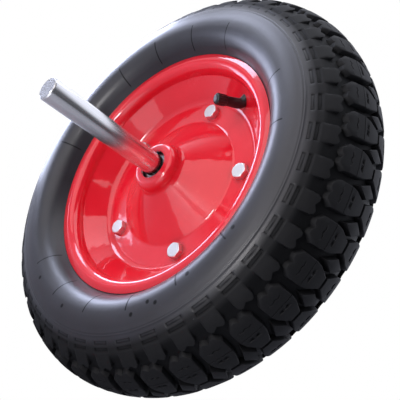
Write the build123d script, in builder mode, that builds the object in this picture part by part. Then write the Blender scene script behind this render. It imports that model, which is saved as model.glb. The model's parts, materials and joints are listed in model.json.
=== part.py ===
# Pneumatic wheelbarrow wheel: block-tread tyre and inner tube on a split pressed-steel rim,
# bolted round its middle, that turns on two sealed ball bearings on a plain steel axle.
# Units are millimetres. The origin is the centre of the wheel, +Y runs along the axle
# towards the back and +Z is up. The valve stands on the front, towards -Y.
from build123d import *
from math import atan2, cos, radians, sin, sqrt, tan
import os

# Axle
axle_r = 10.0
axle_length = 310.0
axle_chamfer = 1.2

# Snap rings that keep the axle in the bearings
ring_wire = 1.2
ring_groove_depth = 0.6
ring_gap = 0.04
ring_opening_deg = 50.0

# Tyre section, given as an ellipse round the middle of the rubber's section
section_r = 142.0             # radius of the circle that the section's centre runs on
carcass_half_width = 50.0     # at the widest point of the side wall
carcass_height = 45.0         # from the section's centre out to the floor of the tread
tread_depth = 6.0             # height of the blocks at the crown
wall_crown = 9.0              # rubber under the tread
wall_side = 5.0               # rubber at the side wall
tyre_floor_steps = 8          # flats that make up the tread floor across half the tyre
tread_edge_deg = 68.0         # where the tread floor meets the smooth side wall
lip_over = 1.5                # the rubber stands this much over the rim's flange
lip_out = 1.2                 # and this much outside it
lip_under = 0.4
knee_rise = 4.0               # from the flange out to the knee of the inside wall
knee_thick = 17.5             # rubber beside that knee
low_wall_drop = 13.0          # from the section's centre in to the thin part of the wall
low_wall_thick = 8.2
wall_drop = 14.0              # the same outside, where the wall draws in to the bead
wall_draw = 3.6
toe_rise = 2.5                # size of the bead's toe
toe_thick = 1.0
bead_round_deg = 40.0

# Tread blocks, with every width round the tyre given at the tread's own radius
pitch_count = 42
centre_half_width = 10.8      # from the middle of a centre block to its point
centre_span = 11.6            # length round the tyre of a centre block
second_span = 21.4
second_inner_deg = 1.3
second_outer_deg = 36.5
second_tip = 9.8              # length of its inner end, beside the crown
second_neck = 12.0            # length of its outer end, before the corners are cut
second_gap = 0.4              # from the point of a centre block out to its full length
second_bevel = 0.8            # how much shorter it is there, on each side
second_taper = 4.5            # length of its outer taper, towards the shoulder
second_corner = 2.5
second_notch = 2.0
shoulder_span = 15.5
shoulder_inner_deg = 40.0
shoulder_outer_deg = 53.0
shoulder_notch = 2.6
shoulder_taper = 2.8
shoulder_corner = 1.0
tread_overhang = 0.4          # the blocks' tops would reach this much past the side wall
block_root = 1.2              # how far a block reaches into the rubber below it
# Degrees from the crown and height over the tread floor, along the top of each block
centre_top = ((-14.0, tread_depth), (14.0, tread_depth))
second_top = ((0.8, tread_depth), (20.0, 5.9), (37.5, 5.4))
shoulder_top = ((38.5, 5.2), (54.0, 3.4))
slot_span = 14.0
slot_depth = 2.4
slots_across = ((55.3, 4.6), (63.2, 3.4))    # degrees from the crown, and width
buttress_rise = 2.8           # the shoulder stands this much over the carcass's ellipse
buttress_start_deg = 42.5
buttress_peak_deg = 51.0
buttress_end_deg = 72.0
tread_phase_deg = 1.3         # turn of the first shoulder block from +X

# Rim halves, pressed from one sheet each, with u measured from the rim's middle plane
sheet = 2.0
flange_r = 119.0
flange_edge_u = 32.5
flange_lean_deg = 10.0        # the flange's face rises this much towards the seat
flange_curl = 9.0
seat_r = 105.2                # inside radius of the bead seat
seat_taper = 0.8
seat_end_u = 21.0
web_outer_r = 86.3            # outer edge of the flat that the bolts pass
web_inner_r = 63.9
cone_top_u = 25.5             # where the dished middle meets the bearing cup
cup_top_u = 36.2
cup_taper = 1.0
mouth_r = 13.5
lip_round = 5.5
step_round = 3.0
web_round = 10.0
cone_round = 6.0

# Bearings, one in each cup
bearing_r = 21.0
bearing_width = 12.0
press_gap = 0.03
inner_land_r = 12.9
outer_land_r = 17.9
ball_r = 3.175
ball_count = 9
race_gap = 0.06
seal_sheet = 1.0
seal_recess = 0.5
seal_lip_gap = 0.12
cage_depth = 2.4
cage_width = 8.0
cage_clearance = 0.25
axle_gap = 0.02
bearing_seat_gap = 0.1         # from the ring's chamfer to the round inside the cup
race_chamfer = 1.0

# Spacer between the inner rings
spacer_r = 13.0
spacer_gap = 0.1
spacer_bore_gap = 0.15

# Bolts, washers and nuts through the rim's middle
bolt_count = 5
bolt_circle_r = 74.0
bolt_r = 4.0
bolt_hole_gap = 0.3
bolt_head_flats = 13.0
bolt_head_height = 5.3
bolt_length = 16.0
washer_r = 7.8
washer_thick = 1.6
nut_height = 6.5
hex_chamfer = 0.9
hex_chamfer_depth = 0.5
bolt_tip_chamfer = 0.8
thread_gap = 0.03
first_bolt_deg = 180.0

# Valve, bent from the tube towards the front
valve_deg = 82.0
valve_r = 4.8
valve_u = 11.0
valve_elbow_r = 91.5
valve_bend = 7.0
valve_tip_r = 79.5
valve_tip_u = 36.0
valve_root = 106.5            # radius of the stem's inner end, inside the tube
valve_hole_gap = 0.5
valve_bore_r = 1.6
sleeve_r = 3.0
sleeve_length = 19.0
sleeve_gap = 0.05
thread_r = 3.85
cap_length = 10.5
cap_top = 2.4
cap_gap = 0.15
cap_ribs = 14
cap_rib_r = 0.45
cap_round = 1.7
core_r = 1.45
core_length = 8.0
core_recess = 1.0

# Inner tube
tube_thick = 2.0
tube_gap = 0.35
tube_hole_gap = 0.1
tube_floor_r = 91.5           # where the tube rests in the rim's well
tube_floor_u = 6.0
tube_bead_gap = 0.7
tube_flat = 1.5

# Tyre bead
bead_gap = 0.15
bead_toe_gap = 0.4

rim_u = sheet                 # visible face of the flat that the bolts pass
crown_r = section_r + carcass_height + tread_depth
tread_half_width = carcass_half_width + tread_overhang
pitch_deg = 360 / pitch_count
flange_slope = tan(radians(flange_lean_deg))
flange_corner_u = flange_edge_u + (flange_r - seat_r) * flange_slope
curl_r = seat_r + flange_curl
curl_u = flange_edge_u + (flange_r - curl_r) * flange_slope - flange_curl / cos(radians(flange_lean_deg))
bead_seat_r = seat_r + sheet + bead_gap
bead_curl = flange_curl - sheet - bead_gap
cup_r = bearing_r + press_gap + sheet
bearing_out_u = cup_top_u - lip_round + race_chamfer - bearing_seat_gap
bearing_in_u = bearing_out_u - bearing_width
bearing_mid_u = bearing_out_u - bearing_width / 2
ball_pitch_r = (inner_land_r + outer_land_r) / 2

os.makedirs("parts", exist_ok=True)


def buttress(deg):
    """Rise of the shoulder over the carcass's ellipse: up to the peak, then down to the side wall."""
    up = (deg - buttress_start_deg) / (buttress_peak_deg - buttress_start_deg)
    down = (buttress_end_deg - deg) / (buttress_end_deg - buttress_peak_deg)
    return buttress_rise * max(0, min(up, down))


def floor_point(deg):
    """Point (radius, y) of the tread floor, deg from the crown towards the back."""
    height = carcass_height + buttress(deg)
    return (section_r + height * cos(radians(deg)), carcass_half_width * sin(radians(deg)))


def root_point(deg):
    """Point (radius, y) in the rubber just under the tread floor, where a block is rooted."""
    radius, across = floor_point(deg)
    return (radius - block_root * cos(radians(deg)), across - block_root * sin(radians(deg)))


def top_point(deg, rise=tread_depth):
    """Point (radius, y) of a block's top, deg from the crown towards the back."""
    across = carcass_half_width + rise * (tread_half_width - carcass_half_width) / tread_depth
    return (section_r + (carcass_height + rise) * cos(radians(deg)), across * sin(radians(deg)))


def save(name, piece):
    """Label a finished piece and write it to its own file."""
    piece.label = name
    export_step(piece, f"parts/{name}.step")


# Tyre: a carcass revolved from its section
floor = [floor_point(tread_edge_deg * i / tyre_floor_steps) for i in range(tyre_floor_steps + 1)]
side = (section_r, carcass_half_width)
flange_lip = (flange_r + lip_over, flange_edge_u + lip_out)
under_lip = (flange_r - lip_under, flange_edge_u - sheet - bead_gap)
lean = radians(flange_lean_deg)
bead_top = (curl_r + bead_curl * sin(lean), curl_u + bead_curl * cos(lean))
bead_turn = radians(bead_round_deg)
bead_mid = (curl_r - bead_curl * cos(bead_turn), curl_u + bead_curl * sin(bead_turn))
bead_heel = (bead_seat_r, curl_u)
bead_toe = (bead_seat_r - seat_taper, seat_end_u + bead_toe_gap)
bead_back = (bead_toe[0] + toe_rise, seat_end_u - toe_thick)
inner_wall = (flange_r + knee_rise, carcass_half_width - knee_thick)
inside_side = (section_r, carcass_half_width - wall_side)
inside_crown = (section_r + carcass_height - wall_crown, 0)
inside_shoulder = (
    section_r + (carcass_height - wall_crown) * cos(radians(45)),
    inside_side[1] * sin(radians(45)),
)
inside_low = (section_r - low_wall_drop, carcass_half_width - low_wall_thick)

with BuildPart() as carcass:
    with BuildSketch(Plane.XY):
        with BuildLine():
            Polyline(*floor)
            ThreePointArc(floor[-1], floor_point((tread_edge_deg + 90) / 2), side)
            ThreePointArc(side, (section_r - wall_drop, carcass_half_width - wall_draw), flange_lip)
            Line(flange_lip, under_lip)
            Line(under_lip, bead_top)
            ThreePointArc(bead_top, bead_mid, bead_heel)
            Line(bead_heel, bead_toe)
            Line(bead_toe, bead_back)
            Line(bead_back, inner_wall)
            ThreePointArc(inner_wall, inside_low, inside_side)
            ThreePointArc(inside_side, inside_shoulder, inside_crown)
            Line(inside_crown, floor[0])
        make_face()
    revolve(axis=Axis.Y)
    mirror(about=Plane.XZ)


def tread_block(top, outline):
    """One rubber block: the tread's section under a top line, cut to an outline seen from outside."""
    with BuildPart() as block:
        with BuildSketch(Plane.XY):
            with BuildLine():
                tops = [top_point(deg, rise) for deg, rise in top]
                roots = [root_point(deg) for deg, rise in reversed(top)]
                Polyline(*tops, *roots, close=True)
            make_face()
        extrude(amount=crown_r * sin(radians(pitch_deg)), both=True)
        with BuildSketch(Plane.YZ.offset(section_r)):
            with BuildLine():
                Polyline(*outline, close=True)
            make_face()
        extrude(amount=carcass_height + 2 * tread_depth, mode=Mode.INTERSECT)
    return block.part


centre_outline = [
    (-centre_half_width, 0),
    (0, centre_span / 2),
    (centre_half_width, 0),
    (0, -centre_span / 2),
]
second_inner_y = top_point(second_inner_deg)[1]
second_outer_y = top_point(second_outer_deg)[1]
second_edge_y = centre_half_width + second_gap
second_outline = [
    (second_inner_y, -second_tip / 2),
    (second_inner_y, second_tip / 2),
    (second_edge_y, second_span / 2 - second_bevel),
    (second_edge_y + second_taper, second_span / 2),
    (second_outer_y - second_taper, second_span / 2),
    (second_outer_y, second_neck / 2),
    (second_outer_y, second_neck / 2 - second_corner),
    (second_outer_y - second_notch, 0),
    (second_outer_y, -second_neck / 2 + second_corner),
    (second_outer_y, -second_neck / 2),
    (second_outer_y - second_taper, -second_span / 2),
    (second_edge_y + second_taper, -second_span / 2),
    (second_edge_y, -second_span / 2 + second_bevel),
]
shoulder_inner_y = top_point(shoulder_inner_deg)[1]
shoulder_outer_y = top_point(shoulder_outer_deg)[1]
shoulder_outline = [
    (shoulder_inner_y, -shoulder_span / 2 + shoulder_taper),
    (shoulder_inner_y + shoulder_notch / 2, 0),
    (shoulder_inner_y, shoulder_span / 2 - shoulder_taper),
    (shoulder_inner_y + shoulder_notch, shoulder_span / 2),
    (shoulder_outer_y - shoulder_corner, shoulder_span / 2),
    (shoulder_outer_y, shoulder_span / 2 - shoulder_corner),
    (shoulder_outer_y, -shoulder_span / 2 + shoulder_corner),
    (shoulder_outer_y - shoulder_corner, -shoulder_span / 2),
    (shoulder_inner_y + shoulder_notch, -shoulder_span / 2),
]
centre_block = tread_block(centre_top, centre_outline)
second_block = tread_block(second_top, second_outline)
shoulder_block = tread_block(shoulder_top, shoulder_outline)

with BuildPart() as slot:
    for slot_deg, slot_width in slots_across:
        slot_r, slot_y = floor_point(slot_deg)
        rise, run = carcass_height * sin(radians(slot_deg)), carcass_half_width * cos(radians(slot_deg))
        slope = atan2(rise, run)
        slot_plane = Plane(origin=(slot_r, slot_y, 0), x_dir=(0, 0, 1), z_dir=(cos(slope), sin(slope), 0))
        with BuildSketch(slot_plane):
            SlotOverall(slot_span, slot_width)
        extrude(amount=slot_depth, both=True)


def around(piece, turn):
    """A copy of a piece turned about the axle by turn degrees, from +X towards +Z."""
    return piece.rotate(Axis.Y, -turn)


blocks = []
slots = []
for i in range(pitch_count):
    turn = tread_phase_deg + i * pitch_deg
    blocks.append(around(centre_block, turn))
    for face in (shoulder_block, mirror(shoulder_block, about=Plane.XZ)):
        blocks.append(around(face, turn))
    for face in (second_block, mirror(second_block, about=Plane.XZ)):
        blocks.append(around(face, turn + pitch_deg / 2))
    for face in (slot.part, mirror(slot.part, about=Plane.XZ)):
        slots.append(around(face, turn))

with BuildPart() as tyre:
    add(carcass.part)
    add(slots, mode=Mode.SUBTRACT)
    add(blocks)
save("tyre", tyre.part)
print("tyre solids", len(tyre.part.solids()), "volume", round(tyre.part.volume))


# Rim: the back half is drawn, and the front half is the same pressing turned round
rim_corners = [
    (flange_r, flange_edge_u),
    (seat_r, flange_corner_u),
    (seat_r - seat_taper, seat_end_u),
    (web_outer_r, rim_u),
    (web_inner_r, rim_u),
    (cup_r + cup_taper, cone_top_u),
    (cup_r, cup_top_u),
    (mouth_r, cup_top_u),
]
rim_rounds = [flange_curl, step_round, web_round, cone_round, cone_round, lip_round]

with BuildPart() as rim_half:
    with BuildSketch(Plane.XY):
        with BuildLine():
            FilletPolyline(*rim_corners, radius=rim_rounds)
            offset(amount=sheet, side=Side.LEFT)
        make_face()
    revolve(axis=Axis.Y)
    with BuildSketch(Plane.XZ):
        with PolarLocations(bolt_circle_r, bolt_count, start_angle=first_bolt_deg):
            Circle(bolt_r + bolt_hole_gap)
    extrude(amount=-2 * sheet, mode=Mode.SUBTRACT)
save("rim_back_half", rim_half.part)

valve_dir = Vector(cos(radians(valve_deg)), 0, sin(radians(valve_deg)))


def valve_point(radius, u):
    """Point in the plane of the valve, at a radius and a distance u in front of the middle."""
    return valve_dir * radius + Vector(0, -u, 0)


valve_hole_plane = Plane(origin=valve_point(valve_elbow_r - valve_bend, valve_u), z_dir=valve_dir)

with BuildPart() as rim_front:
    add(mirror(rim_half.part, about=Plane.XZ))
    with BuildSketch(valve_hole_plane):
        Circle(valve_r + valve_hole_gap)
    extrude(amount=seat_r + sheet - valve_elbow_r + valve_bend, mode=Mode.SUBTRACT)
save("rim_front_half", rim_front.part)

# Inner tube, a closed ring of thin rubber with a hole for the valve
well_slope = atan2(seat_end_u - rim_u, seat_r - seat_taper - web_outer_r)
well_shift = sheet + tube_gap


def well_point(u):
    """Point on the tube where it lies on the slope of the rim's well."""
    radius = web_outer_r + (u + well_shift * cos(well_slope) - rim_u) / tan(well_slope)
    return (radius + well_shift * sin(well_slope), u)


tube_side = (section_r, inside_side[1] - tube_gap)
tube_crown = (inside_crown[0] - tube_gap, 0)
tube_shoulder = (inside_shoulder[0] - tube_gap, inside_shoulder[1] - tube_gap)
tube_wall = (inner_wall[0] + tube_gap, inner_wall[1] - tube_gap)
tube_low = (inside_low[0] + tube_gap, inside_low[1] - tube_gap)
tube_bead = (bead_back[0] + tube_gap, bead_back[1] - tube_bead_gap)

with BuildPart() as tube:
    with BuildSketch(Plane.XY):
        with BuildLine():
            ThreePointArc(tube_crown, tube_shoulder, tube_side)
            ThreePointArc(tube_side, tube_low, tube_wall)
            Line(tube_wall, tube_bead)
            Line(tube_bead, well_point(tube_bead[1] - tube_flat))
            Line(well_point(tube_bead[1] - tube_flat), well_point(tube_floor_u))
            TangentArc(
                well_point(tube_floor_u),
                (tube_floor_r, 0),
                tangent=(-cos(well_slope), -sin(well_slope)),
            )
            Line((tube_floor_r, 0), tube_crown)
        make_face()
        mirror(about=Plane.XZ)
        offset(amount=-tube_thick, mode=Mode.SUBTRACT)
    revolve(axis=Axis.Y)
    with BuildSketch(valve_hole_plane):
        Circle(valve_r + tube_hole_gap)
    extrude(amount=valve_root - valve_elbow_r + valve_bend, mode=Mode.SUBTRACT)
save("inner_tube", tube.part)

# Valve: a rubber-covered stem bent towards the front, round a threaded sleeve
tip = valve_point(valve_tip_r, valve_tip_u)
elbow = valve_point(valve_elbow_r, valve_u)
valve_axis = (tip - elbow).normalized()
cap_seat = tip - valve_axis * cap_length

with BuildPart() as valve_stem:
    with BuildLine():
        FilletPolyline(valve_point(valve_root, valve_u), elbow, cap_seat, radius=valve_bend)
    with BuildSketch(Plane(origin=valve_point(valve_root, valve_u), z_dir=valve_dir * -1)):
        Circle(valve_r)
        Circle(valve_bore_r, mode=Mode.SUBTRACT)
    sweep()
    with BuildSketch(Plane(origin=cap_seat, z_dir=valve_axis * -1)):
        Circle(sleeve_r + sleeve_gap)
    extrude(amount=sleeve_length - cap_length + cap_top + sleeve_gap, mode=Mode.SUBTRACT)
save("valve_stem", valve_stem.part)

sleeve_start = tip - valve_axis * (sleeve_length + cap_top)
thread_length = cap_length - cap_top - cap_gap
with BuildPart() as valve_sleeve:
    with BuildSketch(Plane(origin=sleeve_start, z_dir=valve_axis)):
        Circle(sleeve_r)
    extrude(amount=sleeve_length - cap_gap)
    with BuildSketch(Plane(origin=cap_seat, z_dir=valve_axis)):
        Circle(thread_r)
    extrude(amount=thread_length)
    with BuildSketch(Plane(origin=sleeve_start, z_dir=valve_axis)):
        Circle(valve_bore_r)
    extrude(amount=sleeve_length + cap_top, mode=Mode.SUBTRACT)
save("valve_sleeve", valve_sleeve.part)

core_top = cap_seat + valve_axis * (thread_length - core_recess)
with BuildPart() as valve_core:
    with BuildSketch(Plane(origin=core_top, z_dir=valve_axis * -1)):
        Circle(core_r)
    extrude(amount=core_length)
save("valve_core", valve_core.part)

with BuildPart() as valve_cap:
    with BuildSketch(Plane(origin=cap_seat + valve_axis * cap_gap, z_dir=valve_axis)) as cap_sketch:
        Circle(valve_r)
        with PolarLocations(valve_r, cap_ribs):
            Circle(cap_rib_r)
        Circle(thread_r + cap_gap, mode=Mode.SUBTRACT)
    extrude(amount=cap_length - cap_top)
    with BuildSketch(Plane(origin=tip - valve_axis * cap_top, z_dir=valve_axis)):
        Circle(valve_r)
    extrude(amount=cap_top)
    top_face = valve_cap.faces().filter_by(GeomType.PLANE).sort_by_distance(tip)[0]
    fillet(top_face.edges(), cap_round)
save("valve_cap", valve_cap.part)


# Bolts, washers and nuts round the middle of the rim
def bolt_places():
    """The places of the bolts round the axle."""
    return PolarLocations(bolt_circle_r, bolt_count, start_angle=first_bolt_deg)


hex_corner_r = bolt_head_flats / sqrt(3)

with BuildPart() as bolts:
    with BuildSketch(Plane.XZ.offset(rim_u)):
        with bolt_places():
            Circle(hex_corner_r)
    extrude(amount=bolt_head_height)
    chamfer(bolts.faces().group_by(Axis.Y)[0].edges(), hex_chamfer_depth, hex_chamfer)
    with BuildSketch(Plane.XZ.offset(rim_u)):
        with bolt_places():
            RegularPolygon(bolt_head_flats / 2, 6, major_radius=False)
    extrude(amount=bolt_head_height, mode=Mode.INTERSECT)
    with BuildSketch(Plane.XZ.offset(rim_u)):
        with bolt_places():
            Circle(bolt_r)
    extrude(amount=-bolt_length)
    chamfer(bolts.faces().group_by(Axis.Y)[-1].edges(), bolt_tip_chamfer)
save("rim_bolts", bolts.part)

with BuildPart() as washers:
    with BuildSketch(Plane.XZ.offset(-rim_u)):
        with bolt_places():
            Circle(washer_r)
            Circle(bolt_r + bolt_hole_gap, mode=Mode.SUBTRACT)
    extrude(amount=-washer_thick)
save("rim_washers", washers.part)

with BuildPart() as nuts:
    with BuildSketch(Plane.XZ.offset(-rim_u - washer_thick)):
        with bolt_places():
            Circle(hex_corner_r)
    extrude(amount=-nut_height)
    chamfer(nuts.faces().group_by(Axis.Y)[-1].edges(), hex_chamfer, hex_chamfer_depth)
    chamfer(nuts.faces().group_by(Axis.Y)[0].edges(), hex_chamfer, hex_chamfer_depth)
    with BuildSketch(Plane.XZ.offset(-rim_u - washer_thick)):
        with bolt_places():
            RegularPolygon(bolt_head_flats / 2, 6, major_radius=False)
    extrude(amount=-nut_height, mode=Mode.INTERSECT)
    with BuildSketch(Plane.XZ.offset(-rim_u - washer_thick)):
        with bolt_places():
            Circle(bolt_r + thread_gap)
    extrude(amount=-nut_height, mode=Mode.SUBTRACT)
save("rim_nuts", nuts.part)

# Bearings: the back one is drawn, and the front one is its mirror image
with BuildPart() as outer_ring:
    with BuildSketch(Plane.XY):
        with Locations((0, bearing_in_u)):
            Rectangle(bearing_r, bearing_width, align=(Align.MIN, Align.MIN))
            Rectangle(outer_land_r, bearing_width, align=(Align.MIN, Align.MIN), mode=Mode.SUBTRACT)
        with Locations((ball_pitch_r, bearing_mid_u)):
            Circle(ball_r + race_gap, mode=Mode.SUBTRACT)
    revolve(axis=Axis.Y)
    chamfer(outer_ring.edges().filter_by(GeomType.CIRCLE).sort_by(SortBy.RADIUS)[-2:], race_chamfer)

with BuildPart() as inner_ring:
    with BuildSketch(Plane.XY):
        with Locations((0, bearing_in_u)):
            Rectangle(inner_land_r, bearing_width, align=(Align.MIN, Align.MIN))
            Rectangle(axle_r + axle_gap, bearing_width, align=(Align.MIN, Align.MIN), mode=Mode.SUBTRACT)
        with Locations((ball_pitch_r, bearing_mid_u)):
            Circle(ball_r + race_gap, mode=Mode.SUBTRACT)
    revolve(axis=Axis.Y)

with BuildPart() as balls:
    for i in range(ball_count):
        ball_turn = radians(360 * i / ball_count)
        with Locations((ball_pitch_r * cos(ball_turn), bearing_mid_u, ball_pitch_r * sin(ball_turn))):
            Sphere(ball_r)

with BuildPart() as cage:
    with BuildSketch(Plane.XY):
        with Locations((ball_pitch_r, bearing_mid_u)):
            Rectangle(cage_depth, cage_width)
    revolve(axis=Axis.Y)
    for i in range(ball_count):
        ball_turn = radians(360 * i / ball_count)
        ball_dir = Vector(cos(ball_turn), 0, sin(ball_turn))
        with BuildSketch(Plane(origin=Vector(0, bearing_mid_u, 0) + ball_dir * inner_land_r, z_dir=ball_dir)):
            Circle(ball_r + cage_clearance)
        extrude(amount=outer_land_r - inner_land_r, mode=Mode.SUBTRACT)

seal_out_r = outer_land_r - press_gap
seal_in_r = inner_land_r + seal_lip_gap
with BuildPart() as outer_seal:
    with BuildSketch(Plane.XY):
        with Locations((0, bearing_out_u - seal_recess - seal_sheet)):
            Rectangle(seal_out_r, seal_sheet, align=(Align.MIN, Align.MIN))
            Rectangle(seal_in_r, seal_sheet, align=(Align.MIN, Align.MIN), mode=Mode.SUBTRACT)
    revolve(axis=Axis.Y)

with BuildPart() as inner_seal:
    with BuildSketch(Plane.XY):
        with Locations((0, bearing_in_u + seal_recess)):
            Rectangle(seal_out_r, seal_sheet, align=(Align.MIN, Align.MIN))
            Rectangle(seal_in_r, seal_sheet, align=(Align.MIN, Align.MIN), mode=Mode.SUBTRACT)
    revolve(axis=Axis.Y)

bearing_pieces = {
    "outer_ring": outer_ring.part,
    "inner_ring": inner_ring.part,
    "balls": balls.part,
    "cage": cage.part,
    "outer_seal": outer_seal.part,
    "inner_seal": inner_seal.part,
}
for name, piece in bearing_pieces.items():
    save(f"back_bearing_{name}", piece)
    save(f"front_bearing_{name}", mirror(piece, about=Plane.XZ))

# Axle, with the tube that keeps the bearings apart
with BuildPart() as axle:
    with BuildSketch(Plane.XZ):
        Circle(axle_r)
    extrude(amount=axle_length / 2, both=True)
    chamfer(axle.edges().filter_by(GeomType.CIRCLE), axle_chamfer)
    with BuildSketch(Plane.XY):
        for groove_y in (bearing_out_u, -bearing_out_u - ring_wire - 2 * ring_gap):
            with Locations((axle_r - ring_groove_depth, groove_y)):
                Rectangle(2 * ring_groove_depth, ring_wire + 2 * ring_gap, align=(Align.MIN, Align.MIN))
    revolve(axis=Axis.Y, mode=Mode.SUBTRACT)
save("axle", axle.part)

with BuildPart() as snap_ring:
    with BuildSketch(Plane.XY):
        with Locations((axle_r - ring_groove_depth + ring_gap, bearing_out_u + ring_gap)):
            Rectangle(ring_wire, ring_wire, align=(Align.MIN, Align.MIN))
    revolve(axis=Axis.Y, revolution_arc=360 - ring_opening_deg)
save("back_snap_ring", snap_ring.part)
save("front_snap_ring", mirror(snap_ring.part, about=Plane.XZ))

with BuildPart() as spacer:
    with BuildSketch(Plane.XZ):
        Circle(spacer_r)
        Circle(axle_r + spacer_bore_gap, mode=Mode.SUBTRACT)
    extrude(amount=bearing_in_u - spacer_gap, both=True)
save("bearing_spacer", spacer.part)
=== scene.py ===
# %% [markdown]
# # A pneumatic wheelbarrow wheel
# A black block-tread tyre sits on a rim of two glossy red pressings, bolted back to back.
# The rim turns on two ball bearings round a plain steel bar. The CAD model already has every
# piece at its place. Here each surface gets its real finish, and the pieces whose round forms
# catch the light are worked out again as smooth surfaces. The scene is in metres, and outlines
# are written in mm. The origin is the middle of the wheel, and the Y axis is the axle.

# %% Load the frame
import json
from math import cos, pi, radians, sin

import bpy
import numpy as np
from mathutils import Matrix, Vector


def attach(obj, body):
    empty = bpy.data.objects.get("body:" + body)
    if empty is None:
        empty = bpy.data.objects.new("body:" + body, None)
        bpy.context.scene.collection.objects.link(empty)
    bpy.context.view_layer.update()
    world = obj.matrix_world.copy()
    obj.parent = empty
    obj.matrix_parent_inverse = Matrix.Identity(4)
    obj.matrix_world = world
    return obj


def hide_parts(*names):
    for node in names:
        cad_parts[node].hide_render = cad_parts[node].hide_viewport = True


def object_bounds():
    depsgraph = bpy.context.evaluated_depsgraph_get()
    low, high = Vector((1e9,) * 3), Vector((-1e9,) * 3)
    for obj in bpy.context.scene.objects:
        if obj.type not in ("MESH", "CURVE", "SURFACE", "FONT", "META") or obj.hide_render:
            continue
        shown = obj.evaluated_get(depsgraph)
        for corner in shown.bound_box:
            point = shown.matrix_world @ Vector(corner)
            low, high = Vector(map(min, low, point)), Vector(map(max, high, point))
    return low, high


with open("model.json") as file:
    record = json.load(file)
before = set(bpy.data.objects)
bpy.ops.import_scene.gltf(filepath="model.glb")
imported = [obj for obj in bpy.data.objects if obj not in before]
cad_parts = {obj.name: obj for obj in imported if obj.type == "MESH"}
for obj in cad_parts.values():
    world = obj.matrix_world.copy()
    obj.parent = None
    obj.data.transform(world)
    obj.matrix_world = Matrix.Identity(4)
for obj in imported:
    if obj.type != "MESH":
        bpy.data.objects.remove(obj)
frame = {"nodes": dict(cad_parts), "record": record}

cad_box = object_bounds()
MM = 0.001
nodes = frame["nodes"]
print("nodes:", len(nodes), "box:", [[round(v, 4) for v in corner] for corner in cad_box])

# %% [markdown]
# ## The camera
# The wheel is seen from its front and right, with the camera rolled, so the wheel seems to lean.
# Three unit vectors say how the camera stands: its right side, its top and its back. They are
# the columns of its matrix.

# %% Camera
camera_place = (0.4194, -0.3352, 0.0366)
camera_right = (0.4812, 0.6084, 0.6311)
camera_up = (-0.4678, -0.4306, 0.7718)
camera_back = (0.7414, -0.6666, 0.0774)

camera_data = bpy.data.cameras.new("camera")
camera_data.lens = 52.15
camera_data.sensor_width = 36.0
camera_data.shift_x = -0.003
camera_data.shift_y = 0.021
camera_data.clip_start = 0.01
camera = bpy.data.objects.new("camera", camera_data)
turned = Matrix((camera_right, camera_up, camera_back)).transposed().to_4x4()
camera.matrix_world = Matrix.Translation(camera_place) @ turned
bpy.context.scene.collection.objects.link(camera)
bpy.context.scene.camera = camera
bpy.context.scene.view_settings.view_transform = "Standard"
print("camera at", [round(v, 3) for v in camera.location])

# %% [markdown]
# ## Meshes from grids
# Nearly everything on a wheel is round, so one helper does most of the work: a closed outline in
# the plane of the axle, carried round the Y axis. A grid of points becomes four-sided faces by
# joining each point to its neighbours. The volume that the faces enclose has a sign, and when it
# is negative the faces point inwards and are turned round.

# %% Grid helpers
def enclosed_volume(points, quads):
    """Sum over each quad's two triangles of a . (b x c) / 6, which is positive if they face out."""
    a, b, c, d = (points[quads[:, k]] for k in range(4))
    first = np.einsum("ij,ij->i", a, np.cross(b, c))
    second = np.einsum("ij,ij->i", a, np.cross(c, d))
    return (first.sum() + second.sum()) / 6


def grid_quads(rows, columns, wrap_rows=True):
    """Faces of a grid that closes sideways: (i, j) joins (i + 1, j), (i + 1, j + 1) and (i, j + 1)."""
    i = np.arange(rows if wrap_rows else rows - 1)[:, None]
    j = np.arange(columns)[None, :]
    below, beside = (i + 1) % rows, (j + 1) % columns
    corners = (i * columns + j, below * columns + j, below * columns + beside, i * columns + beside)
    return np.stack([np.broadcast_to(c, (i.size, j.size)) for c in corners], axis=-1).reshape(-1, 4)


def make_mesh(name, points, quads, caps=(), sharp_deg=38.0):
    """A mesh object at the origin, with its faces outwards and its sharp edges marked."""
    turn = slice(None, None, -1) if enclosed_volume(points, quads) < 0 else slice(None)
    faces = quads[:, turn].tolist() + [cap[turn] for cap in caps]
    mesh = bpy.data.meshes.new(name)
    mesh.from_pydata(points.tolist(), [], faces)
    mesh.validate()
    mesh.polygons.foreach_set("use_smooth", np.ones(len(mesh.polygons), dtype=bool))
    mesh.set_sharp_from_angle(angle=radians(sharp_deg))
    piece = bpy.data.objects.new(name, mesh)
    bpy.context.scene.collection.objects.link(piece)
    return piece


def lathe(name, outline, segments=128):
    """Carry a closed outline of (radius, y) points in mm round the Y axis: x = r cos t, z = r sin t."""
    outline = np.array(outline, dtype=float) * MM
    turns = np.linspace(0, 2 * pi, segments, endpoint=False)[:, None]
    x = outline[:, 0] * np.cos(turns)
    z = outline[:, 0] * np.sin(turns)
    y = np.broadcast_to(outline[:, 1], x.shape)
    points = np.stack([x, y, z], axis=-1).reshape(-1, 3)
    return make_mesh(name, points, grid_quads(segments, len(outline)))


def rounded_path(corners, rounds, steps):
    """Points along straight runs whose corners are arcs: each arc touches both runs at r tan(turn / 2)."""
    corners = np.array(corners, dtype=float)
    path = [corners[0]]
    for before, corner, after, radius in zip(corners[:-2], corners[1:-1], corners[2:], rounds):
        inwards = (before - corner) / np.linalg.norm(before - corner)
        outwards = (after - corner) / np.linalg.norm(after - corner)
        half = np.arccos(np.clip(inwards @ outwards, -1, 1)) / 2
        middle = inwards + outwards
        centre = corner + middle / np.linalg.norm(middle) * radius / np.sin(half)
        start = corner + inwards * radius / np.tan(half) - centre
        end = corner + outwards * radius / np.tan(half) - centre
        turn = pi - 2 * half
        for share in np.linspace(0, 1, steps + 1):
            swung = start * np.sin((1 - share) * turn) + end * np.sin(share * turn)
            path.append(centre + swung / np.sin(turn))
    path.append(corners[-1])
    return np.array(path)


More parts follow.
